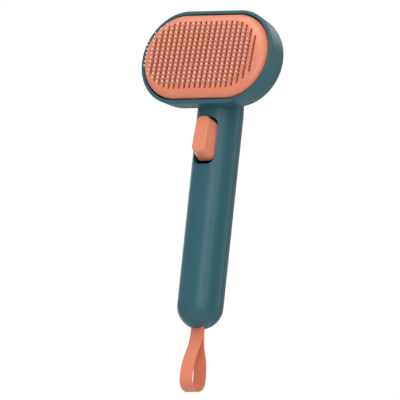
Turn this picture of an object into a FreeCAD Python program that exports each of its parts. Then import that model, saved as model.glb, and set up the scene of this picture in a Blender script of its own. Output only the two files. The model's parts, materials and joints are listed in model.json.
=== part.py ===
import FreeCAD, Part
import math
import os

# Self-cleaning slicker brush. Millimetres.
# Row frame: +Z runs up the handle to the head, -Y is the wires' side, and the origin is the grip's
# centre, on the handle's axis.
# Head frame: x as in the row frame, depth into the head from the slotted face, and up along the
# face. The head leans back by TILT, so its face looks a little upwards.

V = FreeCAD.Vector

# Head
FACE_Z = 97.0  # the slotted face's centre, above the grip's centre
FACE_Y = -24.1
TILT = 7.3  # degrees
HEAD_STRAIGHT = 19.7  # half the straight part of the oval
HEAD_R = 30.15
RIM_DEPTH = 3.9  # the rim's edge lies this far behind the slotted face
RIM_ROUND = 0.9
RIM_HOLE_R = 27.9
DRAFT = 4.8  # degrees by which the side wall closes in towards the back
WALL_END = 15.0  # where the side wall starts to round over to the back
BACK_DEPTH = 25.2
SKIRT_ROOM = 9.0  # the depth down to which the hollow stays wide for the plate's skirt
WALL = 2.2

# Handle and neck
HANDLE_R = 14.4
HANDLE_BOTTOM = FACE_Z - 168.2
HANDLE_TOP = FACE_Z - 34.0
# The neck's cross-sections: height, centre's y, half width, half depth.
NECK_SECTIONS = [
    (FACE_Z - 34.0, 0.0, HANDLE_R, HANDLE_R),
    (FACE_Z - 30.0, -0.1, HANDLE_R, HANDLE_R - 0.1),
    (FACE_Z - 21.0, -1.2, 14.0, 13.1),
    (FACE_Z - 11.0, -3.7, 12.4, 10.0),
    (FACE_Z - 2.0, -5.6, 9.6, 6.6),
    (FACE_Z + 5.0, -6.8, 6.5, 4.0),
]

# Seam between the front shell and the back cover
SEAM_Y = 1.75
SEAM_DEPTH = 20.0  # in the head
SEAM_GAP = 0.3
SEAM_GROOVE = 0.4

# Ejector plate
PLATE_R = 26.95
PLATE_ROUND = 6.2  # how far in from the edge the plate starts to fall
PLATE_DROP = 4.3
PLATE_THICK = 2.0
SKIRT_DEPTH = 8.0
SKIRT_WALL = 1.7
BOSS_DEPTH = 4.2  # the bosses behind the plate that hold the posts
BOSS_R = 2.3

# Slots and wires
COLUMNS = 20
COLUMN_PITCH = 4.0
ROWS = 15
ROW_PITCH = 2.65
FIELD_R = 21.9  # half the field's height, and the radius of its round ends
FIELD_STRAIGHT = 19.6
SLOT_WIDTH = 1.5
WIRE_R = 0.225
WIRE_TIP = 7.5  # above the slotted face
WIRE_ROOT = 5.6
WIRE_LEAN = 0.107  # towards the handle, per mm out of the face
BEAD_R = 0.5
# Wires in each column, from the edge of the head to its middle.
WIRES_IN_COLUMN = [7, 11, 13, 15, 15, 15, 15, 15, 15, 15]

# Board and pad
BOARD_R = 24.9
BOARD_FRONT = 4.6
BOARD_BACK = 6.6
PAD_FRONT = 3.0
PAD_R = 20.4
PAD_HOLE_R = 2.6
COLUMN_X = 27.0
COLUMN_UP = 13.0
COLUMN_R = 3.0
COLUMN_END = 20.0
COLUMN_HOLE = 8.5  # where the screw's hole in the column ends
COLUMN_SEAT_R = 3.8

# Plate guide
POST_X = 41.5
POST_R = 1.5
POST_END = 1.0  # how far the posts stand out behind the crosshead
BUSH_R = 2.3
BUSH_FLANGE_R = 3.2
BUSH_FLANGE = 0.8
CROSSHEAD_FRONT = 16.5
CROSSHEAD_BACK = 19.0
CROSSHEAD_HALF = 3.0
CLIP_R = 2.6
CLIP_THICK = 0.6
LUG_INNER = 4.2
LUG_OUTER = 6.4
LUG_HALF = 2.2
DRIVE_DEPTH = 18.2
DRIVE_UP = -8.5
DRIVE_R = 1.25
PLATE_SPRING_R = 2.35
PLATE_SPRING_WIRE = 0.3

# Trigger
PIVOT_Y = -5.0
PIVOT_Z = FACE_Z - 38.0
PIVOT_R = 1.5
HUB_R = 4.0
HUB_HALF = 6.2
ARM_HALF_X = 3.4
ARM_HALF = 1.9
ARM_LENGTH = 25.0
LOWER_ARM_HALF = 5.0
LOWER_ARM_END = FACE_Z - 62.5
FORK_FOOT = 22.5
FORK_THROAT = 25.5
FORK_REACH = 31.0
FORK_GAP = 0.3
FORK_WALL = 1.7
CAP_BACK_Y = -10.5
CAP_TOP = (-17.1, FACE_Z - 36.5)  # y and z at the front face's upper end
CAP_BOTTOM = (-20.0, FACE_Z - 60.0)
CAP_FRONT_HALF = 4.8
CAP_FRONT_CORNERS = (4.3, 4.3)  # above and below
CAP_EDGE = 1.0  # the fillet round the cap's front face
CAP_BACK_HALF = 7.5
CAP_BACK_CORNERS = (4.0, 4.6)
CAP_BACK_TOP = FACE_Z - 39.5
CAP_BACK_BOTTOM = FACE_Z - 64.1
OPENING_HALF = 8.0
OPENING_CORNERS = (4.4, 5.2)
OPENING_TOP = FACE_Z - 37.2
OPENING_BOTTOM = FACE_Z - 66.8
COLLAR_BACK = -8.6  # the collar behind the opening's edge ends here
COLLAR_WALL = 1.3
COLLAR_TOP = FACE_Z - 46.0
SPRING_Z = FACE_Z - 54.0
TRIGGER_SPRING_R = 2.6
TRIGGER_SPRING_WIRE = 0.3
CAP_SCREW_Z = (FACE_Z - 47.5, FACE_Z - 59.3)
ARM_BACK_Y = -8.0

# Pivot bracket
BRACKET_FRONT = 4.5
BRACKET_BACK = 6.5
BRACKET_HALF = 8.6
BRACKET_TOP = FACE_Z - 33.0
BRACKET_BOTTOM = FACE_Z - 66.0
EAR_INNER = 6.6
EAR_FRONT = -8.2
EAR_BOTTOM = FACE_Z - 43.0
BRACKET_SCREW_Z = (FACE_Z - 48.0, FACE_Z - 63.0)
BRACKET_BOSS_R = 2.6

# Screws
SHANK_R = 1.1
HOLE_R = 1.15
SCREW_HEAD_R = 2.3
SCREW_HEAD = 1.5
SOCKET_R = 1.0
SOCKET_DEPTH = 0.8
HANDLE_SCREW_Z = (FACE_Z - 86.0, FACE_Z - 142.0)
HANDLE_SCREW_SEAT = 6.0
HANDLE_BOSS_R = 3.4
HEAD_SCREW_SEAT = 21.6
HANDLE_SCREW = 12.0  # lengths of the shanks
CASE_SCREW = 10.5
CAP_SCREW = 7.0
BRACKET_SCREW = 6.8
PLUG_R = 2.55
PLUG_DEPTH = 2.6
RUNNING = 0.05  # radial clearance of a shaft in its hole
SPRING_ROOM = 0.02  # left at each end of a spring

# Strap
STRAP_WIDTH = 9.6
STRAP_THICK = 0.95
STRAP_PIN_Z = HANDLE_BOTTOM + 5.4
STRAP_PIN_R = 1.5
STRAP_PIN_HALF = 8.6
STRAP_EYE_R = 2.9
STRAP_NECK = 0.5  # half the distance between the legs' middles where they leave the handle
STRAP_BELLY = 6.87  # and at the loop's widest
STRAP_SPREAD_TOP = FACE_Z - 168.4
STRAP_SPREAD_END = FACE_Z - 198.2
STRAP_ARC_Z = FACE_Z - 200.4
STRAP_SLOT_HALF = 2.4
STRAP_SLOT_SIDE = 0.6  # between the strap's edges and the slot's ends


def in_head(shape):
    """Moves a shape from the head frame to the row frame."""
    moved = shape.copy()
    moved.rotate(V(0, 0, 0), V(1, 0, 0), -TILT)
    moved.translate(V(0, FACE_Y, FACE_Z))
    return moved


def head_point(x, depth, up):
    """A point of the head frame, in the row frame."""
    sine = math.sin(math.radians(TILT))
    cosine = math.cos(math.radians(TILT))
    return V(x, FACE_Y + depth * cosine + up * sine, FACE_Z - depth * sine + up * cosine)


def box(x, y, z):
    """A box from its ranges along X, Y and Z."""
    return Part.makeBox(x[1] - x[0], y[1] - y[0], z[1] - z[0], V(x[0], y[0], z[0]))


def rod(start, end, radius):
    """A cylinder between two points."""
    way = end - start
    return Part.makeCylinder(radius, way.Length, start, way)


def joined(shapes):
    return shapes[0].multiFuse(shapes[1:]).removeSplitter()


def write(name, shapes):
    Part.makeCompound(shapes).exportStep(f"parts/{name}.step")


# Profiles lie in the plane of depth (Y) and radius (Z).


def line(start, end):
    return Part.makeLine(V(0, *start), V(0, *end))


def arc(start, middle, end):
    return Part.Arc(V(0, *start), V(0, *middle), V(0, *end)).toShape()


def quarter(centre, along_depth, along_radius):
    """The quarter of an ellipse from its front to its outer edge."""
    ellipse = Part.Ellipse(V(0, 0, 0), along_radius, along_depth)
    edge = Part.Arc(ellipse, 0, math.pi / 2).toShape()
    # The ellipse's long axis goes to the radius, and its short axis to the front.
    to_profile = FreeCAD.Matrix(0, 0, 1, 0, 0, -1, 0, centre[0], 1, 0, 0, centre[1])
    edge.transformShape(to_profile)
    return edge


def oval(edges, half_straight):
    """A solid of an oval outline, from half of its cross-section."""
    face = Part.Face(Part.Wire(Part.__sortEdges__(edges)))
    lower = face.mirror(V(0, 0, 0), V(0, 0, 1))
    pieces = []
    for side in (-1, 1):
        end = face.copy()
        end.translate(V(side * half_straight, 0, 0))
        pieces.append(end.revolve(V(side * half_straight, 0, 0), V(0, side, 0), 180))
    for half in (face, lower):
        middle = half.copy()
        middle.translate(V(-half_straight, 0, 0))
        pieces.append(middle.extrude(V(2 * half_straight, 0, 0)))
    return joined(pieces)


def disc(radius, front, back, half_straight=HEAD_STRAIGHT):
    """An oval plate with square edges."""
    return oval(
        [
            line((front, 0), (front, radius)),
            line((front, radius), (back, radius)),
            line((back, radius), (back, 0)),
            line((back, 0), (front, 0)),
        ],
        half_straight,
    )


# Body


def head_body(inset):
    """The head's outer form, shrunk by inset: rounded rim, tapered wall and rounded back."""
    draft = math.radians(DRAFT)
    radius = HEAD_R - inset
    rim_end = RIM_DEPTH + RIM_ROUND
    wall_r = radius - (WALL_END - rim_end) * math.tan(draft)
    back = BACK_DEPTH - inset
    turn = (back - WALL_END) / (1 - math.sin(draft))
    centre = (back - turn, wall_r - turn * math.cos(draft))
    halfway = (math.pi / 2 + draft) / 2
    slant = RIM_ROUND * (1 - math.sqrt(0.5))
    return in_head(
        oval(
            [
                line((RIM_DEPTH, 0), (RIM_DEPTH, radius - RIM_ROUND)),
                arc(
                    (RIM_DEPTH, radius - RIM_ROUND),
                    (RIM_DEPTH + slant, radius - slant),
                    (rim_end, radius),
                ),
                line((rim_end, radius), (WALL_END, wall_r)),
                arc(
                    (WALL_END, wall_r),
                    (centre[0] + turn * math.sin(halfway), centre[1] + turn * math.cos(halfway)),
                    (back, centre[1]),
                ),
                line((back, centre[1]), (back, 0)),
                line((back, 0), (RIM_DEPTH, 0)),
            ],
            HEAD_STRAIGHT,
        )
    )


def head_hollow():
    """The room in the head: open in front, wide enough for the plate, and rounded behind."""
    front = RIM_DEPTH - 5
    back = BACK_DEPTH - WALL
    wall_r = HEAD_R - WALL - (WALL_END - RIM_DEPTH) * math.tan(math.radians(DRAFT))
    turn = back - WALL_END
    slant = turn * math.sqrt(0.5)
    room_r = RIM_HOLE_R - 0.1
    return in_head(
        oval(
            [
                line((front, 0), (front, RIM_HOLE_R)),
                line((front, RIM_HOLE_R), (RIM_DEPTH + 1, RIM_HOLE_R)),
                line((RIM_DEPTH + 1, RIM_HOLE_R), (SKIRT_ROOM, room_r)),
                line((SKIRT_ROOM, room_r), (WALL_END, wall_r)),
                arc(
                    (WALL_END, wall_r),
                    (WALL_END + slant, wall_r - turn + slant),
                    (back, wall_r - turn),
                ),
                line((back, wall_r - turn), (back, 0)),
                line((back, 0), (front, 0)),
            ],
            HEAD_STRAIGHT,
        )
    )


def handle_body(inset):
    radius = HANDLE_R - inset
    centre = HANDLE_BOTTOM + HANDLE_R
    tube = Part.makeCylinder(radius, HANDLE_TOP - centre, V(0, 0, centre))
    end = Part.makeSphere(radius, V(0, 0, centre), V(0, 0, 1), -90, 0, 360)
    return tube.fuse(end)


def neck_body(inset):
    wires = []
    for height, middle, half_width, half_depth in NECK_SECTIONS:
        section = Part.Ellipse(V(0, middle, height), half_width - inset, half_depth - inset)
        wires.append(Part.Wire(section.toShape()))
    return Part.makeLoft(wires, True, False)


def whole_body(inset):
    """The body's outer form, shrunk by inset."""
    return joined([head_body(inset), neck_body(inset), handle_body(inset)])


def behind_seam(shift=0.0):
    """Everything behind the seam, which steps forward from the handle to the head."""
    low = head_point(0, SEAM_DEPTH, -22)
    high = head_point(0, SEAM_DEPTH, 40)
    turn = FACE_Z - 28.5
    outline = [
        V(-60, SEAM_Y, -90),
        V(-60, SEAM_Y, turn),
        V(-60, low.y, low.z),
        V(-60, high.y, high.z),
        V(-60, 60, high.z),
        V(-60, 60, -90),
        V(-60, SEAM_Y, -90),
    ]
    block = Part.Face(Part.makePolygon(outline)).extrude(V(120, 0, 0))
    block.translate(V(0, shift, 0))
    return block


def rounded_outline(half, top, bottom, radii, y_top, y_bottom):
    """A closed wire: a rounded rectangle in XZ whose y slopes from top to bottom."""
    slope = (y_top - y_bottom) / (top - bottom)

    def at(x, z):
        return V(x, y_bottom + (z - bottom) * slope, z)

    edges = []
    first = last = None
    corners = [(1, top, 0), (-1, top, 90), (-1, bottom, 180), (1, bottom, 270)]
    for side, z, start in corners:
        radius = radii[0] if z == top else radii[1]
        centre_x = side * (half - radius)
        centre_z = z - radius if z == top else z + radius
        turns = [math.radians(start + step) for step in (0, 45, 90)]
        points = [
            at(centre_x + radius * math.cos(t), centre_z + radius * math.sin(t)) for t in turns
        ]
        if last:
            edges.append(Part.makeLine(last, points[0]))
        first = first or points[0]
        edges.append(Part.Arc(*points).toShape())
        last = points[2]
    edges.append(Part.makeLine(last, first))
    return Part.Wire(edges)


def opening_prism(extra, front, back):
    """The trigger opening's outline, grown by extra, from front to back along Y."""
    corners = [corner + extra for corner in OPENING_CORNERS]
    outline = rounded_outline(
        OPENING_HALF + extra,
        OPENING_TOP + extra,
        OPENING_BOTTOM - extra,
        corners,
        front,
        front,
    )
    return Part.Face(outline).extrude(V(0, back - front, 0))


def trigger_opening():
    return opening_prism(0, -HANDLE_R - 1, COLLAR_BACK)


def trigger_collar():
    """The wall that runs in from the opening's edge."""
    wall = opening_prism(COLLAR_WALL, -HANDLE_R, COLLAR_BACK)
    above = box((-HANDLE_R, HANDLE_R), (-HANDLE_R, 0), (COLLAR_TOP, FACE_Z))
    return wall.common(whole_body(WALL / 2)).cut(above)


def strap_slot():
    half = STRAP_WIDTH / 2 + STRAP_SLOT_SIDE
    return box(
        (-half, half),
        (-STRAP_SLOT_HALF, STRAP_SLOT_HALF),
        (HANDLE_BOTTOM - 1, HANDLE_BOTTOM + 4),
    )


def strap_pin():
    ends = (V(-STRAP_PIN_HALF, 0, STRAP_PIN_Z), V(STRAP_PIN_HALF, 0, STRAP_PIN_Z))
    return rod(*ends, STRAP_PIN_R)


def column_places():
    return [(x, up) for x in (-COLUMN_X, COLUMN_X) for up in (-COLUMN_UP, COLUMN_UP)]


def head_rod(x, up, front, back, radius):
    """A cylinder across the head, given in the head frame."""
    return rod(head_point(x, front, up), head_point(x, back, up), radius)


def shells():
    hollow = joined([head_hollow(), neck_body(WALL), handle_body(WALL)])
    body = whole_body(0).cut(hollow)
    groove = behind_seam(-SEAM_GAP / 2).cut(behind_seam(SEAM_GAP / 2))
    groove = groove.cut(whole_body(SEAM_GROOVE))
    behind = behind_seam()
    front = body.cut(behind)
    back = body.common(behind)
    for z in HANDLE_SCREW_Z:
        wall_y = HANDLE_R - WALL / 2
        front = front.fuse(rod(V(0, -wall_y, z), V(0, SEAM_Y, z), HANDLE_BOSS_R))
        back = back.fuse(rod(V(0, SEAM_Y, z), V(0, wall_y, z), HANDLE_BOSS_R))
        front = front.cut(rod(V(0, -8, z), V(0, SEAM_Y, z), HOLE_R))
        back = back.cut(rod(V(0, SEAM_Y, z), V(0, HANDLE_R, z), HOLE_R))
        back = back.cut(rod(V(0, HANDLE_SCREW_SEAT, z), V(0, 20, z), PLUG_R))
    for x, up in column_places():
        back = back.fuse(head_rod(x, up, COLUMN_END, BACK_DEPTH - WALL / 2, COLUMN_SEAT_R))
        back = back.cut(head_rod(x, up, COLUMN_END, BACK_DEPTH, HOLE_R))
        back = back.cut(head_rod(x, up, HEAD_SCREW_SEAT, BACK_DEPTH + 2, PLUG_R))
    for z in BRACKET_SCREW_Z:
        wall_y = HANDLE_R - WALL / 2
        back = back.fuse(rod(V(0, BRACKET_BACK, z), V(0, wall_y, z), BRACKET_BOSS_R))
        back = back.cut(rod(V(0, BRACKET_BACK, z), V(0, 11.8, z), HOLE_R))
    front = front.cut(groove).fuse(trigger_collar())
    front = front.cut([trigger_opening(), strap_slot(), strap_pin()])
    back = back.cut([groove, strap_slot()])
    return front, back


# Head's insides


def column_x(index):
    return (index - (COLUMNS - 1) / 2) * COLUMN_PITCH


def slot_half(x):
    beyond = max(0.0, abs(x) - FIELD_STRAIGHT)
    return math.sqrt(FIELD_R**2 - beyond**2)


def slot_cutter(x):
    half = slot_half(x) - SLOT_WIDTH / 2
    cut = box((x - SLOT_WIDTH / 2, x + SLOT_WIDTH / 2), (-2, 5), (-half, half))
    for end in (-half, half):
        cut = cut.fuse(rod(V(x, -2, end), V(x, 5, end), SLOT_WIDTH / 2))
    return cut


def ejector_plate():
    """Domed plate with a skirt, a slot for each column of wires and a boss for each post."""
    skirt_inside = PLATE_R - SKIRT_WALL
    flat_r = PLATE_R - PLATE_ROUND
    plate = oval(
        [
            line((0, 0), (0, flat_r)),
            quarter((PLATE_DROP, flat_r), PLATE_DROP, PLATE_ROUND),
            line((PLATE_DROP, PLATE_R), (SKIRT_DEPTH, PLATE_R)),
            line((SKIRT_DEPTH, PLATE_R), (SKIRT_DEPTH, skirt_inside)),
            line((SKIRT_DEPTH, skirt_inside), (PLATE_DROP, skirt_inside)),
            quarter(
                (PLATE_DROP, flat_r), PLATE_DROP - PLATE_THICK, PLATE_ROUND - SKIRT_WALL
            ),
            line((PLATE_THICK, flat_r), (PLATE_THICK, 0)),
            line((PLATE_THICK, 0), (0, 0)),
        ],
        HEAD_STRAIGHT,
    )
    for side in (-1, 1):
        x = side * POST_X
        plate = plate.fuse(rod(V(x, 1, 0), V(x, BOSS_DEPTH, 0), BOSS_R))
        plate = plate.cut(rod(V(x, PLATE_THICK, 0), V(x, BOSS_DEPTH, 0), POST_R))
    plate = plate.cut([slot_cutter(column_x(i)) for i in range(COLUMNS)])
    return in_head(plate)


def wire_places():
    """The (x, up, collides) of each wire where it crosses the slotted face."""
    places = []
    for column in range(COLUMNS):
        count = WIRES_IN_COLUMN[min(column, COLUMNS - 1 - column)]
        for row in range(ROWS):
            steps = row - (ROWS - 1) // 2
            if abs(steps) <= count // 2:
                collides = column % 2 == 0 and steps % 3 == 0
                places.append((column_x(column), steps * ROW_PITCH, collides))
    return places


def wire(x, up):
    root = head_point(x, WIRE_ROOT, up + WIRE_LEAN * WIRE_ROOT)
    tip = head_point(x, -WIRE_TIP, up - WIRE_LEAN * WIRE_TIP)
    return rod(root, tip, WIRE_R)


def bead(x, up):
    return Part.makeSphere(BEAD_R, head_point(x, -WIRE_TIP, up - WIRE_LEAN * WIRE_TIP))


def bristle_board():
    board = disc(BOARD_R, BOARD_FRONT, BOARD_BACK)
    for x, up in column_places():
        board = board.fuse(rod(V(x, BOARD_BACK - 1, up), V(x, COLUMN_END, up), COLUMN_R))
        board = board.cut(rod(V(x, COLUMN_HOLE, up), V(x, COLUMN_END, up), HOLE_R))
    for side in (-1, 1):
        x = side * POST_X
        board = board.cut(rod(V(x, BOARD_FRONT, 0), V(x, BOARD_BACK, 0), BUSH_R))
    return in_head(board)


def bristle_pad():
    pad = disc(PAD_R, PAD_FRONT, BOARD_FRONT, FIELD_STRAIGHT)
    for side in (-1, 1):
        x = side * POST_X
        pad = pad.cut(rod(V(x, PAD_FRONT, 0), V(x, BOARD_FRONT, 0), PAD_HOLE_R))
    return in_head(pad)


def guide_bush(x):
    flange_back = BOARD_BACK + BUSH_FLANGE
    bush = head_rod(x, 0, BOARD_FRONT, BOARD_BACK, BUSH_R)
    bush = bush.fuse(head_rod(x, 0, BOARD_BACK, flange_back, BUSH_FLANGE_R))
    return bush.cut(head_rod(x, 0, 0, flange_back, POST_R + RUNNING))


def guide_post(x):
    return head_rod(x, 0, PLATE_THICK, CROSSHEAD_BACK + POST_END, POST_R)


def post_clip(x):
    ends = (CROSSHEAD_BACK, CROSSHEAD_BACK + CLIP_THICK)
    return head_rod(x, 0, *ends, CLIP_R).cut(head_rod(x, 0, *ends, POST_R))


def crosshead():
    """Bar behind the board, with two lugs that hold the drive pin."""
    depth = (CROSSHEAD_FRONT, CROSSHEAD_BACK)
    bar = box((-POST_X, POST_X), depth, (-CROSSHEAD_HALF, CROSSHEAD_HALF))
    for side in (-1, 1):
        x = side * POST_X
        bar = bar.fuse(rod(V(x, depth[0], 0), V(x, depth[1], 0), CROSSHEAD_HALF))
        bar = bar.cut(rod(V(x, depth[0], 0), V(x, depth[1], 0), POST_R))
        lug_x = sorted((side * LUG_INNER, side * LUG_OUTER))
        lug_depth = (DRIVE_DEPTH - LUG_HALF, DRIVE_DEPTH + LUG_HALF)
        bar = bar.fuse(box(lug_x, lug_depth, (DRIVE_UP - LUG_HALF, 1 - CROSSHEAD_HALF)))
    return in_head(bar.removeSplitter()).cut(drive_pin())


def drive_pin():
    ends = (
        head_point(-LUG_OUTER, DRIVE_DEPTH, DRIVE_UP),
        head_point(LUG_OUTER, DRIVE_DEPTH, DRIVE_UP),
    )
    return rod(*ends, DRIVE_R)


def spring(start, way, length, radius, wire_r, turns):
    """A round-wire compression spring from start, along way, over its length."""
    height = length - 2 * wire_r
    helix = Part.makeHelix(height / turns, height, radius)
    ring = Part.Wire(
        Part.Circle(V(radius, 0, 0), V(0, 1, 0), wire_r).toShape()
    )
    coil = Part.Wire(helix).makePipeShell([ring], True, True)
    coil.translate(V(0, 0, wire_r))
    turn = FreeCAD.Rotation(V(0, 0, 1), way)
    coil.Placement = FreeCAD.Placement(start, turn).multiply(coil.Placement)
    return coil


def plate_spring(x):
    front = BOARD_BACK + BUSH_FLANGE + SPRING_ROOM
    length = CROSSHEAD_FRONT - SPRING_ROOM - front
    start = head_point(x, front, 0)
    way = head_point(x, CROSSHEAD_FRONT, 0) - start
    return spring(start, way, length, PLATE_SPRING_R, PLATE_SPRING_WIRE, 5)


# Trigger


def trigger_cap():
    """Wedge with a narrow front face and flared sides, deepest at its lower end."""
    back = rounded_outline(
        CAP_BACK_HALF, CAP_BACK_TOP, CAP_BACK_BOTTOM, CAP_BACK_CORNERS, CAP_BACK_Y, CAP_BACK_Y
    )
    front = rounded_outline(
        CAP_FRONT_HALF,
        CAP_TOP[1],
        CAP_BOTTOM[1],
        CAP_FRONT_CORNERS,
        CAP_TOP[0],
        CAP_BOTTOM[0],
    )
    cap = Part.makeLoft([back, front], True, True)
    halfway = (CAP_BACK_Y + CAP_TOP[0]) / 2
    rim = [e for e in cap.Edges if e.BoundBox.YMax < halfway]
    cap = cap.makeFillet(CAP_EDGE, rim)
    for z in CAP_SCREW_Z:
        cap = cap.cut(rod(V(0, CAP_BACK_Y - 5, z), V(0, CAP_BACK_Y, z), HOLE_R))
    return cap


def arm_point(along, across, x=0.0):
    """A point on the rocker's upper arm, which at rest points from the pivot to the drive pin."""
    drive = head_point(0, DRIVE_DEPTH, DRIVE_UP)
    way = V(0, drive.y - PIVOT_Y, drive.z - PIVOT_Z)
    way.normalize()
    side = V(0, way.z, -way.y)
    return V(x, PIVOT_Y, PIVOT_Z) + way * along + side * across


def arm_slab(along, across, half_width):
    """A block along the upper arm."""
    corners = [(0, 0), (0, 1), (1, 1), (1, 0), (0, 0)]
    outline = [arm_point(along[i], across[j], -half_width) for i, j in corners]
    return Part.Face(Part.makePolygon(outline)).extrude(V(2 * half_width, 0, 0))


def rocker():
    """Hub on the trigger pin, an upper arm with a fork, and a lower arm behind the cap."""
    ends = (V(-HUB_HALF, PIVOT_Y, PIVOT_Z), V(HUB_HALF, PIVOT_Y, PIVOT_Z))
    hub = rod(*ends, HUB_R)
    arm = arm_slab((0, ARM_LENGTH), (-ARM_HALF, ARM_HALF), ARM_HALF_X)
    gap_half = DRIVE_R + FORK_GAP
    fork_half = gap_half + FORK_WALL
    fork = arm_slab((FORK_FOOT, FORK_REACH), (-fork_half, fork_half), ARM_HALF_X)
    gap = arm_slab((FORK_THROAT, FORK_REACH + 1), (-gap_half, gap_half), ARM_HALF_X + 1)
    lower = box(
        (-LOWER_ARM_HALF, LOWER_ARM_HALF), (CAP_BACK_Y, ARM_BACK_Y), (LOWER_ARM_END, PIVOT_Z)
    )
    lever = joined([hub, arm, fork, lower]).cut(gap)
    lever = lever.cut(rod(*ends, PIVOT_R + RUNNING))
    for z in CAP_SCREW_Z:
        lever = lever.cut(rod(V(0, CAP_BACK_Y, z), V(0, ARM_BACK_Y, z), HOLE_R))
    return lever


def screw(seat, way, length):
    """A pan head screw: its head stands behind seat, and its shank runs along way."""
    top = seat - way * SCREW_HEAD
    body = rod(seat, seat + way * length, SHANK_R).fuse(rod(top, seat, SCREW_HEAD_R))
    return body.cut(rod(top, top + way * SOCKET_DEPTH, SOCKET_R))


def cap_screws():
    return [screw(V(0, ARM_BACK_Y, z), V(0, -1, 0), CAP_SCREW) for z in CAP_SCREW_Z]


def pivot_bracket():
    """U bracket: a base on the back cover's bosses, and two ears that hold the trigger pin."""
    base = box(
        (-BRACKET_HALF, BRACKET_HALF),
        (BRACKET_FRONT, BRACKET_BACK),
        (BRACKET_BOTTOM, BRACKET_TOP),
    )
    pieces = [base]
    for side in (-1, 1):
        ear_x = sorted((side * EAR_INNER, side * BRACKET_HALF))
        pieces.append(box(ear_x, (EAR_FRONT, BRACKET_FRONT), (EAR_BOTTOM, BRACKET_TOP)))
    bracket = joined(pieces)
    seat = rod(V(0, BRACKET_FRONT - 1.2, SPRING_Z), V(0, BRACKET_FRONT, SPRING_Z), 1.9)
    bracket = bracket.fuse(seat)
    bracket = bracket.cut(trigger_pin())
    for z in BRACKET_SCREW_Z:
        bracket = bracket.cut(rod(V(0, 0, z), V(0, BRACKET_BACK, z), HOLE_R))
    return bracket


def trigger_pin():
    reach = BRACKET_HALF + 0.6
    return rod(V(-reach, PIVOT_Y, PIVOT_Z), V(reach, PIVOT_Y, PIVOT_Z), PIVOT_R)


def bracket_screws():
    return [screw(V(0, BRACKET_FRONT, z), V(0, 1, 0), BRACKET_SCREW) for z in BRACKET_SCREW_Z]


def trigger_spring():
    length = BRACKET_FRONT - ARM_BACK_Y - 2 * SPRING_ROOM
    start = V(0, BRACKET_FRONT - SPRING_ROOM, SPRING_Z)
    return spring(start, V(0, -1, 0), length, TRIGGER_SPRING_R, TRIGGER_SPRING_WIRE, 6)


# Fasteners of the body


def case_screws():
    screws = []
    way = head_point(0, -1, 0) - head_point(0, 0, 0)
    for x, up in column_places():
        screws.append(screw(head_point(x, HEAD_SCREW_SEAT, up), way, CASE_SCREW))
    return screws


def handle_screws():
    seats = [V(0, HANDLE_SCREW_SEAT, z) for z in HANDLE_SCREW_Z]
    return [screw(seat, V(0, -1, 0), HANDLE_SCREW) for seat in seats]


def screw_plugs():
    """Plugs that follow the body's surface."""
    skin = whole_body(0.1)
    radius = PLUG_R - 0.05
    plugs = []
    for z in HANDLE_SCREW_Z:
        plugs.append(rod(V(0, HANDLE_R - PLUG_DEPTH, z), V(0, 20, z), radius).common(skin))
    for x, up in column_places():
        blank = head_rod(x, up, HEAD_SCREW_SEAT + SCREW_HEAD + 0.1, BACK_DEPTH + 2, radius)
        plugs.append(blank.common(skin))
    return plugs


# Strap


def strap_leg(side):
    """One leg's middle line: straight out of the handle, then spread by two equal arcs."""
    spread = STRAP_BELLY - STRAP_NECK
    drop = STRAP_SPREAD_TOP - STRAP_SPREAD_END
    turn = 2 * math.atan2(spread, drop)
    radius = drop / (2 * math.sin(turn))
    half_turn = turn / 2
    near_y = STRAP_NECK + radius * (1 - math.cos(half_turn))
    near_z = STRAP_SPREAD_TOP - radius * math.sin(half_turn)
    far_y = STRAP_BELLY - radius * (1 - math.cos(half_turn))
    far_z = STRAP_SPREAD_END + radius * math.sin(half_turn)
    middle = ((STRAP_NECK + STRAP_BELLY) / 2, (STRAP_SPREAD_TOP + STRAP_SPREAD_END) / 2)

    def at(y, z):
        return (side * y, z)

    return [
        line(at(STRAP_NECK, STRAP_PIN_Z), at(STRAP_NECK, STRAP_SPREAD_TOP)),
        arc(at(STRAP_NECK, STRAP_SPREAD_TOP), at(near_y, near_z), at(*middle)),
        arc(at(*middle), at(far_y, far_z), at(STRAP_BELLY, STRAP_SPREAD_END)),
        line(at(STRAP_BELLY, STRAP_SPREAD_END), at(STRAP_BELLY, STRAP_ARC_Z)),
    ]


def hang_loop():
    """Flat strap: an eye on its pin, two legs that spread, and a round bottom."""
    bottom = arc(
        (-STRAP_BELLY, STRAP_ARC_Z), (0, STRAP_ARC_Z - STRAP_BELLY), (STRAP_BELLY, STRAP_ARC_Z)
    )
    path = Part.Wire(Part.__sortEdges__(strap_leg(-1) + [bottom] + strap_leg(1)))
    outline = path.makeOffset2D(STRAP_THICK / 2, 0, False, False)
    ribbon = Part.Face(outline)
    ribbon.translate(V(-STRAP_WIDTH / 2, 0, 0))
    strap = ribbon.extrude(V(STRAP_WIDTH, 0, 0))
    ends = (V(-STRAP_WIDTH / 2, 0, STRAP_PIN_Z), V(STRAP_WIDTH / 2, 0, STRAP_PIN_Z))
    strap = strap.fuse(rod(*ends, STRAP_EYE_R))
    return strap.cut(rod(*ends, STRAP_PIN_R + RUNNING))


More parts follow.
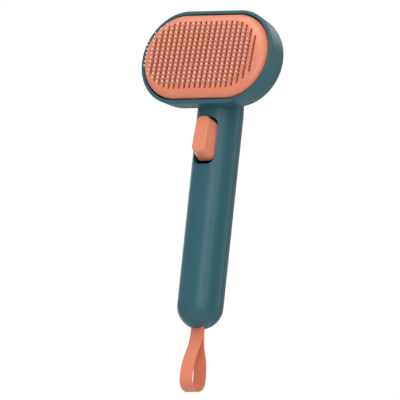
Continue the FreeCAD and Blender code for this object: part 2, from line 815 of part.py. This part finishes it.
def build():
    front_shell, back_cover = shells()
    write("front_shell", [front_shell])
    write("back_cover", [back_cover])
    write("ejector_plate", [ejector_plate()])
    places = wire_places()
    write("bristle_wires", [wire(x, up) for x, up, collides in places if not collides])
    write("contact_wires", [wire(x, up) for x, up, collides in places if collides])
    write("wire_tips", [bead(x, up) for x, up, _ in places])
    write("bristle_board", [bristle_board()])
    write("bristle_pad", [bristle_pad()])
    sides = (-POST_X, POST_X)
    write("guide_bushes", [guide_bush(x) for x in sides])
    write("guide_posts", [guide_post(x) for x in sides])
    write("post_clips", [post_clip(x) for x in sides])
    write("plate_springs", [plate_spring(x) for x in sides])
    write("crosshead", [crosshead()])
    write("drive_pin", [drive_pin()])
    write("trigger_cap", [trigger_cap()])
    write("rocker", [rocker()])
    write("cap_screws", cap_screws())
    write("trigger_pin", [trigger_pin()])
    write("pivot_bracket", [pivot_bracket()])
    write("bracket_screws", bracket_screws())
    write("trigger_spring", [trigger_spring()])
    write("case_screws", case_screws())
    write("handle_screws", handle_screws())
    write("screw_plugs", screw_plugs())
    write("strap_pin", [strap_pin()])
    write("hang_loop", [hang_loop()])


build()
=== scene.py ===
import json
import math

import bmesh
import bpy
from mathutils import Matrix, Vector


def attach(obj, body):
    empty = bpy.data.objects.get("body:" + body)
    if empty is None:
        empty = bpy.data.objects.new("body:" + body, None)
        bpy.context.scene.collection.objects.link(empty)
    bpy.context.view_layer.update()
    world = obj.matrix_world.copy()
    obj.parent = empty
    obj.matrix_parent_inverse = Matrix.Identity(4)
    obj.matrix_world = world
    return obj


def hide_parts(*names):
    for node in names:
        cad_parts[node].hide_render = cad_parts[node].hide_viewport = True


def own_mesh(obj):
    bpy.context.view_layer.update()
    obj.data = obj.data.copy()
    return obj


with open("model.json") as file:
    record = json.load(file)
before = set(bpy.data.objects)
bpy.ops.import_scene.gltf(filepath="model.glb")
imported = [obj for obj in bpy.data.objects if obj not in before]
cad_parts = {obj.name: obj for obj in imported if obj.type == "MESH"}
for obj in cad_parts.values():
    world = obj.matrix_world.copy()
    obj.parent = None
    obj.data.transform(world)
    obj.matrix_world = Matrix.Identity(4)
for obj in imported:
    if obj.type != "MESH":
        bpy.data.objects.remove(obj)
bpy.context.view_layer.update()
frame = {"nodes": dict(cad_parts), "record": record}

MM = 0.001

# The camera looks up at the grip from below the head, without perspective.
CAMERA_AZIMUTH = math.radians(37.5)
CAMERA_ELEVATION = math.radians(-9.77)
CAMERA_ROLL = math.radians(6.0)
CAMERA_TARGET = Vector((-3.2, -7.4, 8.8)) * MM
CAMERA_DISTANCE = 0.7
VIEW_WIDTH = 247.1 * MM

FLOOR_Z = -0.45
FLOOR_SIZE = 14.0
FLOOR_GLOW = 0.42  # lifts the floor to a paler tone without lighting the brush
FLOOR_GREY = (0.86, 0.86, 0.86)
WORLD_SEEN = 1.02
WORLD_AMBIENT = 0.42

# Azimuth and elevation in degrees, distance, width and height in metres, and power in watts.
LIGHTS = {
    "key": (57, 12, 1.4, 0.3, 1.4, 3.4),
    "front": (30, 8, 1.4, 0.5, 1.2, 5.2),
    "back": (176, 40, 1.3, 0.9, 0.6, 2.2),
    "rim_right": (138, 5, 1.3, 0.3, 1.4, 1.8),
    "rim_left": (238, 5, 1.3, 0.2, 1.4, 1.8),
    "top": (-22, 54, 1.3, 0.9, 0.9, 9.5),
}

# The strap's middle line and section, in millimetres. Below the pin the line is the CAD part's.
# The band is 0.02 mm thinner than the CAD solid, to stay inside its box. It keeps that thickness
# round the pin, where the CAD's eye is 0.4 mm thicker and closer to the pin.
STRAP_WIDTH = 9.6
STRAP_THICK = 0.93
STRAP_EDGE = 0.4  # the radius of the band's edges
STRAP_PIN_Z = -65.8
STRAP_EYE_R = 2.4
STRAP_NECK = 0.5
STRAP_BELLY = 6.87
STRAP_SPREAD_TOP = -71.4
STRAP_SPREAD_END = -101.2
STRAP_ARC_Z = -103.4
LEG_STEPS = 16  # points on each of a leg's two arcs
BOTTOM_STEPS = 32
EYE_STEPS = 28
EDGE_STEPS = 4  # divisions of each rounded edge

# The wires' lattice, in the head's own frame and in millimetres.
FACE_Y = -24.1
FACE_Z = 97.0
TILT = math.radians(7.3)
COLUMNS = 20
COLUMN_PITCH = 4.0
ROW_PITCH = 2.65
WIRES_IN_COLUMN = [7, 11, 13, 15, 15, 15, 15, 15, 15, 15]
WIRE_TIP = 7.5
WIRE_LEAN = 0.107
BEAD_R = 0.5
BEAD_TAIL = 0.35  # the share by which the bead reaches further behind than in front
BEAD_WAIST = 0.12  # the share by which it is slimmer there
BEAD_RINGS = 9
BEAD_SPOKES = 12

# Colours are linear.
TEAL = (0.022, 0.100, 0.125)
CORAL = (0.735, 0.237, 0.138)
STRAP_CORAL = (0.720, 0.217, 0.128)
DARK = (0.018, 0.014, 0.013)
# Dark red: partly the pad rubber's own red, and partly painted shade of the slots it shows
# through.
PAD_RED_AND_SLOT_SHADE = (0.13, 0.028, 0.018)
IVORY = (0.72, 0.70, 0.64)
STEEL = (0.63, 0.62, 0.60)
# Steel with a coral tint: the tint is a painted reflection of the coral plate on the wires.
WIRE_STEEL_CORAL_REFLECTION = (0.84, 0.66, 0.58)
TIP_WHITE = (0.95, 0.69, 0.60)

# Most of a noise's values lie between these.
NOISE_LOW = 0.3
NOISE_HIGH = 0.7


# Materials


def shader_tree(name):
    """A new material with its Principled shader, and the object's own coordinates."""
    material = bpy.data.materials.new(name)
    material.use_nodes = True
    tree = material.node_tree
    shader = tree.nodes["Principled BSDF"]
    place = tree.nodes.new("ShaderNodeTexCoord").outputs["Object"]
    return material, tree, shader, place


def noise(tree, place, size, detail=2.0):
    """Noise whose features are about size metres across."""
    node = tree.nodes.new("ShaderNodeTexNoise")
    node.inputs["Scale"].default_value = 1.0 / size
    node.inputs["Detail"].default_value = detail
    tree.links.new(place, node.inputs["Vector"])
    return node.outputs["Fac"]


def spread(tree, value, low, high):
    """Noise's middle range brought to between low and high."""
    node = tree.nodes.new("ShaderNodeMapRange")
    node.inputs["From Min"].default_value = NOISE_LOW
    node.inputs["From Max"].default_value = NOISE_HIGH
    node.inputs["To Min"].default_value = low
    node.inputs["To Max"].default_value = high
    tree.links.new(value, node.inputs["Value"])
    return node.outputs["Result"]


def shaded(tree, value, colour, change):
    """The colour, darker and lighter by change where the value is low and high."""
    ramp = tree.nodes.new("ShaderNodeValToRGB")
    ramp.color_ramp.elements[0].position = NOISE_LOW
    ramp.color_ramp.elements[1].position = NOISE_HIGH
    ramp.color_ramp.elements[0].color = (*[c * (1 - change) for c in colour], 1)
    ramp.color_ramp.elements[1].color = (*[c * (1 + change) for c in colour], 1)
    tree.links.new(value, ramp.inputs["Fac"])
    return ramp.outputs["Color"]


def bump(tree, height, distance):
    """A normal for a relief whose full height is distance metres."""
    node = tree.nodes.new("ShaderNodeBump")
    node.inputs["Strength"].default_value = 1.0
    node.inputs["Distance"].default_value = distance
    tree.links.new(height, node.inputs["Height"])
    return node.outputs["Normal"]


def plastic(name, colour, roughness, grain=0.35 * MM, depth=0.012 * MM, specular=0.5):
    """Moulded plastic: spark-eroded grain in relief and gloss, and faint flow marks in colour."""
    material, tree, shader, place = shader_tree(name)
    flow = noise(tree, place, 14 * MM)
    tree.links.new(shaded(tree, flow, colour, 0.035), shader.inputs["Base Color"])
    fine = noise(tree, place, grain, 3.0)
    tree.links.new(
        spread(tree, fine, roughness - 0.04, roughness + 0.04), shader.inputs["Roughness"]
    )
    tree.links.new(bump(tree, fine, depth), shader.inputs["Normal"])
    shader.inputs["Specular IOR Level"].default_value = specular
    return material


def elastomer(name, colour, roughness):
    """Soft moulded rubber with a dusty sheen."""
    material = plastic(name, colour, roughness, 0.5 * MM, 0.02 * MM, 0.3)
    shader = material.node_tree.nodes["Principled BSDF"]
    shader.inputs["Sheen Weight"].default_value = 0.12
    shader.inputs["Sheen Roughness"].default_value = 0.5
    return material


def steel(name, colour, roughness):
    """Drawn or turned steel with fine marks."""
    material, tree, shader, place = shader_tree(name)
    marks = noise(tree, place, 0.25 * MM, 4.0)
    tree.links.new(shaded(tree, marks, colour, 0.06), shader.inputs["Base Color"])
    tree.links.new(
        spread(tree, marks, roughness - 0.06, roughness + 0.06), shader.inputs["Roughness"]
    )
    tree.links.new(bump(tree, marks, 0.004 * MM), shader.inputs["Normal"])
    shader.inputs["Metallic"].default_value = 1.0
    return material


def make_materials():
    """One material for each of the record's slots."""
    return {
        "teal_shell": plastic("teal_shell_finish", TEAL, 0.36, specular=0.4),
        "coral_plate": plastic("coral_plate_finish", CORAL, 0.40),
        "coral_trigger": plastic("coral_trigger_finish", CORAL, 0.34),
        "coral_strap": elastomer("coral_strap_finish", STRAP_CORAL, 0.6),
        # The wires' coral tint is a painted reflection of the plate, not the steel's own colour.
        "wire_steel": steel("wire_steel_painted_reflection", WIRE_STEEL_CORAL_REFLECTION, 0.58),
        "tip_resin": plastic("tip_finish", TIP_WHITE, 0.18, specular=0.6),
        "dark_plastic": plastic("dark_plastic_finish", DARK, 0.5),
        # The pad's dark tone is partly painted shade of the deep slots.
        "pad_rubber": elastomer("pad_rubber_and_painted_shade", PAD_RED_AND_SLOT_SHADE, 0.6),
        "acetal": plastic("acetal_finish", IVORY, 0.35),
        "pin_steel": steel("pin_finish", STEEL, 0.22),
        "spring_steel": steel("spring_finish", STEEL, 0.3),
        "screw_steel": steel("screw_finish", STEEL, 0.35),
        "plug_rubber": elastomer("plug_finish", TEAL, 0.55),
    }


def paint_nodes(materials):
    for part in frame["record"]["subparts"]:
        node = frame["nodes"][part["node"]]
        for holder in node.material_slots:
            holder.material = materials[part["material_slot"]]


# Pieces


def new_piece(name, vertices, faces, slot, body, *nodes):
    """A smooth mesh in millimetres that stands for CAD nodes and rides on their body."""
    mesh = bpy.data.meshes.new(name)
    mesh.from_pydata([Vector(v) * MM for v in vertices], [], faces)
    mesh.update()
    working = bmesh.new()
    working.from_mesh(mesh)
    bmesh.ops.recalc_face_normals(working, faces=working.faces)
    working.to_mesh(mesh)
    working.free()
    mesh.shade_smooth()
    mesh.materials.append(finishes[slot])
    piece = bpy.data.objects.new(name, mesh)
    bpy.context.scene.collection.objects.link(piece)
    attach(piece, body)
    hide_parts(*nodes)


def arc_points(centre, radius, start, end, count):
    """Points (y, z) on an arc from start to end, in degrees, without the last one."""
    points = []
    for i in range(count):
        angle = math.radians(start + (end - start) * i / count)
        points.append((centre[0] + radius * math.cos(angle), centre[1] + radius * math.sin(angle)))
    return points


def strap_line():
    """The band's closed middle line in the YZ plane: round the pin, and round the loop."""
    widening = STRAP_BELLY - STRAP_NECK
    drop = STRAP_SPREAD_TOP - STRAP_SPREAD_END
    turn = 2 * math.degrees(math.atan2(widening, drop))
    radius = drop / (2 * math.sin(math.radians(turn)))
    neck = math.degrees(math.asin(STRAP_NECK / STRAP_EYE_R))
    top, end = (STRAP_NECK + radius, STRAP_SPREAD_TOP), (STRAP_BELLY - radius, STRAP_SPREAD_END)
    leg = arc_points(top, radius, 180, 180 + turn, LEG_STEPS)
    leg += arc_points(end, radius, turn, 0, LEG_STEPS)
    bottom = arc_points((0, STRAP_ARC_Z), STRAP_BELLY, 0, -180, BOTTOM_STEPS)
    other = [(-y, z) for y, z in reversed(leg)]
    eye = arc_points((0, STRAP_PIN_Z), STRAP_EYE_R, 270 - neck, -90 + neck, EYE_STEPS)
    return leg + bottom + other + eye


def rounded_band():
    """The band's cross-section: (across, through) points of a rectangle with round edges."""
    half_width = STRAP_WIDTH / 2 - STRAP_EDGE
    half_thick = STRAP_THICK / 2 - STRAP_EDGE
    points = []
    for sx, sy, start in ((1, 1, 0), (-1, 1, 90), (-1, -1, 180), (1, -1, 270)):
        for step in range(EDGE_STEPS + 1):
            angle = math.radians(start + 90 * step / EDGE_STEPS)
            points.append(
                (
                    sx * half_width + STRAP_EDGE * math.cos(angle),
                    sy * half_thick + STRAP_EDGE * math.sin(angle),
                )
            )
    return points


def make_strap():
    """The band: its cross-section carried round the closed middle line."""
    line = strap_line()
    section = rounded_band()
    vertices = []
    for i, (y, z) in enumerate(line):
        before, after = line[i - 1], line[(i + 1) % len(line)]
        along = Vector((after[0] - before[0], after[1] - before[1])).normalized()
        for across, through in section:
            vertices.append((across, y - along.y * through, z + along.x * through))
    faces = []
    count = len(section)
    for i in range(len(line)):
        here, there = i * count, (i + 1) % len(line) * count
        for j in range(count):
            k = (j + 1) % count
            faces.append((here + j, here + k, there + k, there + j))
    new_piece("strap_band", vertices, faces, "coral_strap", "strap", "hang_loop")


def head_point(x, depth, up):
    """A point of the head's own frame, in the row frame."""
    return Vector(
        (
            x,
            FACE_Y + depth * math.cos(TILT) + up * math.sin(TILT),
            FACE_Z - depth * math.sin(TILT) + up * math.cos(TILT),
        )
    )


def wire_tips():
    """The (x, up) of each wire's tip."""
    places = []
    for column in range(COLUMNS):
        count = WIRES_IN_COLUMN[min(column, COLUMNS - 1 - column)]
        for row in range(-(count // 2), count // 2 + 1):
            x = (column - (COLUMNS - 1) / 2) * COLUMN_PITCH
            places.append((x, row * ROW_PITCH - WIRE_LEAN * WIRE_TIP))
    return places


def make_beads():
    """A bead on each wire: round in front, and drawn out towards the wire behind."""
    out = (head_point(0, -1, 0) - head_point(0, 0, 0)).normalized()
    side = Vector((1, 0, 0))
    up = out.cross(side)
    rings, spokes = BEAD_RINGS, BEAD_SPOKES
    vertices = []
    faces = []
    for x, height in wire_tips():
        centre = head_point(x, -WIRE_TIP, height)
        first = len(vertices)
        vertices.append(centre + out * BEAD_R)
        for ring in range(1, rings):
            angle = math.pi * ring / rings
            behind = max(0.0, -math.cos(angle))
            radius = BEAD_R * math.sin(angle) * (1 - BEAD_WAIST * behind)
            reach = BEAD_R * math.cos(angle) * (1 + BEAD_TAIL * behind)
            for spoke in range(spokes):
                turn = 2 * math.pi * spoke / spokes
                rim = side * math.cos(turn) + up * math.sin(turn)
                vertices.append(centre + out * reach + rim * radius)
        vertices.append(centre - out * BEAD_R * (1 + BEAD_TAIL))
        last = len(vertices) - 1
        for spoke in range(spokes):
            beside = (spoke + 1) % spokes
            faces.append((first, first + 1 + spoke, first + 1 + beside))
            for ring in range(rings - 2):
                near = first + 1 + ring * spokes
                far = near + spokes
                faces.append((near + spoke, far + spoke, far + beside, near + beside))
            near = first + 1 + (rings - 2) * spokes
            faces.append((near + spoke, last, near + beside))
    new_piece("tip_beads", vertices, faces, "tip_resin", "housing", "wire_tips")


def make_spring(node):
    """A copy of a CAD spring, riding on the housing in place of the CAD node."""
    piece = bpy.data.objects.new(node + "_coils", frame["nodes"][node].data.copy())
    bpy.context.scene.collection.objects.link(piece)
    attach(piece, "housing")
    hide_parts(node)
    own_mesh(piece)


def make_springs():
    make_spring("plate_springs")
    make_spring("trigger_spring")


# Studio


def make_camera():
    data = bpy.data.cameras.new("camera")
    data.type = "ORTHO"
    data.ortho_scale = VIEW_WIDTH
    data.clip_end = 50.0
    camera = bpy.data.objects.new("camera", data)
    bpy.context.scene.collection.objects.link(camera)
    azimuth, elevation = CAMERA_AZIMUTH, CAMERA_ELEVATION
    back = Vector(
        (
            math.sin(azimuth) * math.cos(elevation),
            -math.cos(azimuth) * math.cos(elevation),
            math.sin(elevation),
        )
    )
    level = Vector((math.cos(azimuth), math.sin(azimuth), 0))
    upright = back.cross(level)
    right = level * math.cos(CAMERA_ROLL) + upright * math.sin(CAMERA_ROLL)
    up = back.cross(right)
    turn = Matrix((right, up, back)).transposed().to_4x4()
    camera.matrix_world = Matrix.Translation(CAMERA_TARGET + back * CAMERA_DISTANCE) @ turn
    bpy.context.scene.camera = camera


def softbox(name, azimuth, elevation, distance, width, height, power):
    """An area light that faces the brush, from an azimuth and elevation in degrees."""
    data = bpy.data.lights.new(name, "AREA")
    data.shape = "RECTANGLE"
    data.size = width
    data.size_y = height
    data.energy = power
    light = bpy.data.objects.new(name, data)
    bpy.context.scene.collection.objects.link(light)
    around, above = math.radians(azimuth), math.radians(elevation)
    back = Vector(
        (math.sin(around) * math.cos(above), -math.cos(around) * math.cos(above), math.sin(above))
    )
    light.location = CAMERA_TARGET + back * distance
    light.rotation_mode = "QUATERNION"
    light.rotation_quaternion = (-back).to_track_quat("-Z", "Y")


def make_world():
    """White behind the brush, and a dimmer white that lights it."""
    world = bpy.data.worlds.new("studio")
    bpy.context.scene.world = world
    world.use_nodes = True
    tree = world.node_tree
    background = tree.nodes["Background"]
    background.inputs["Color"].default_value = (1, 1, 1, 1)
    path = tree.nodes.new("ShaderNodeLightPath")
    level = tree.nodes.new("ShaderNodeMapRange")
    level.inputs["To Min"].default_value = WORLD_AMBIENT
    level.inputs["To Max"].default_value = WORLD_SEEN
    tree.links.new(path.outputs["Is Camera Ray"], level.inputs["Value"])
    tree.links.new(level.outputs["Result"], background.inputs["Strength"])


def make_floor():
    half = FLOOR_SIZE / 2
    corners = [(-half, -half, 0), (half, -half, 0), (half, half, 0), (-half, half, 0)]
    mesh = bpy.data.meshes.new("floor")
    mesh.from_pydata(corners, [], [(0, 1, 2, 3)])
    floor = bpy.data.objects.new("floor", mesh)
    floor.location = (0, 0, FLOOR_Z)
    bpy.context.scene.collection.objects.link(floor)
    material, tree, shader, place = shader_tree("floor_finish")
    tree.links.new(
        shaded(tree, noise(tree, place, 0.4), FLOOR_GREY, 0.01),
        shader.inputs["Base Color"],
    )
    shader.inputs["Roughness"].default_value = 0.7
    path = tree.nodes.new("ShaderNodeLightPath")
    glow = tree.nodes.new("ShaderNodeMapRange")
    glow.inputs["To Max"].default_value = FLOOR_GLOW
    tree.links.new(path.outputs["Is Camera Ray"], glow.inputs["Value"])
    tree.links.new(glow.outputs["Result"], shader.inputs["Emission Strength"])
    shader.inputs["Emission Color"].default_value = (1, 1, 1, 1)
    mesh.materials.append(material)


def make_studio():
    bpy.context.scene.view_settings.view_transform = "Standard"
    make_world()
    make_floor()
    for name, place_and_power in LIGHTS.items():
        softbox(name, *place_and_power)


make_camera()
make_studio()
finishes = make_materials()
paint_nodes(finishes)
make_strap()
make_beads()
make_springs()
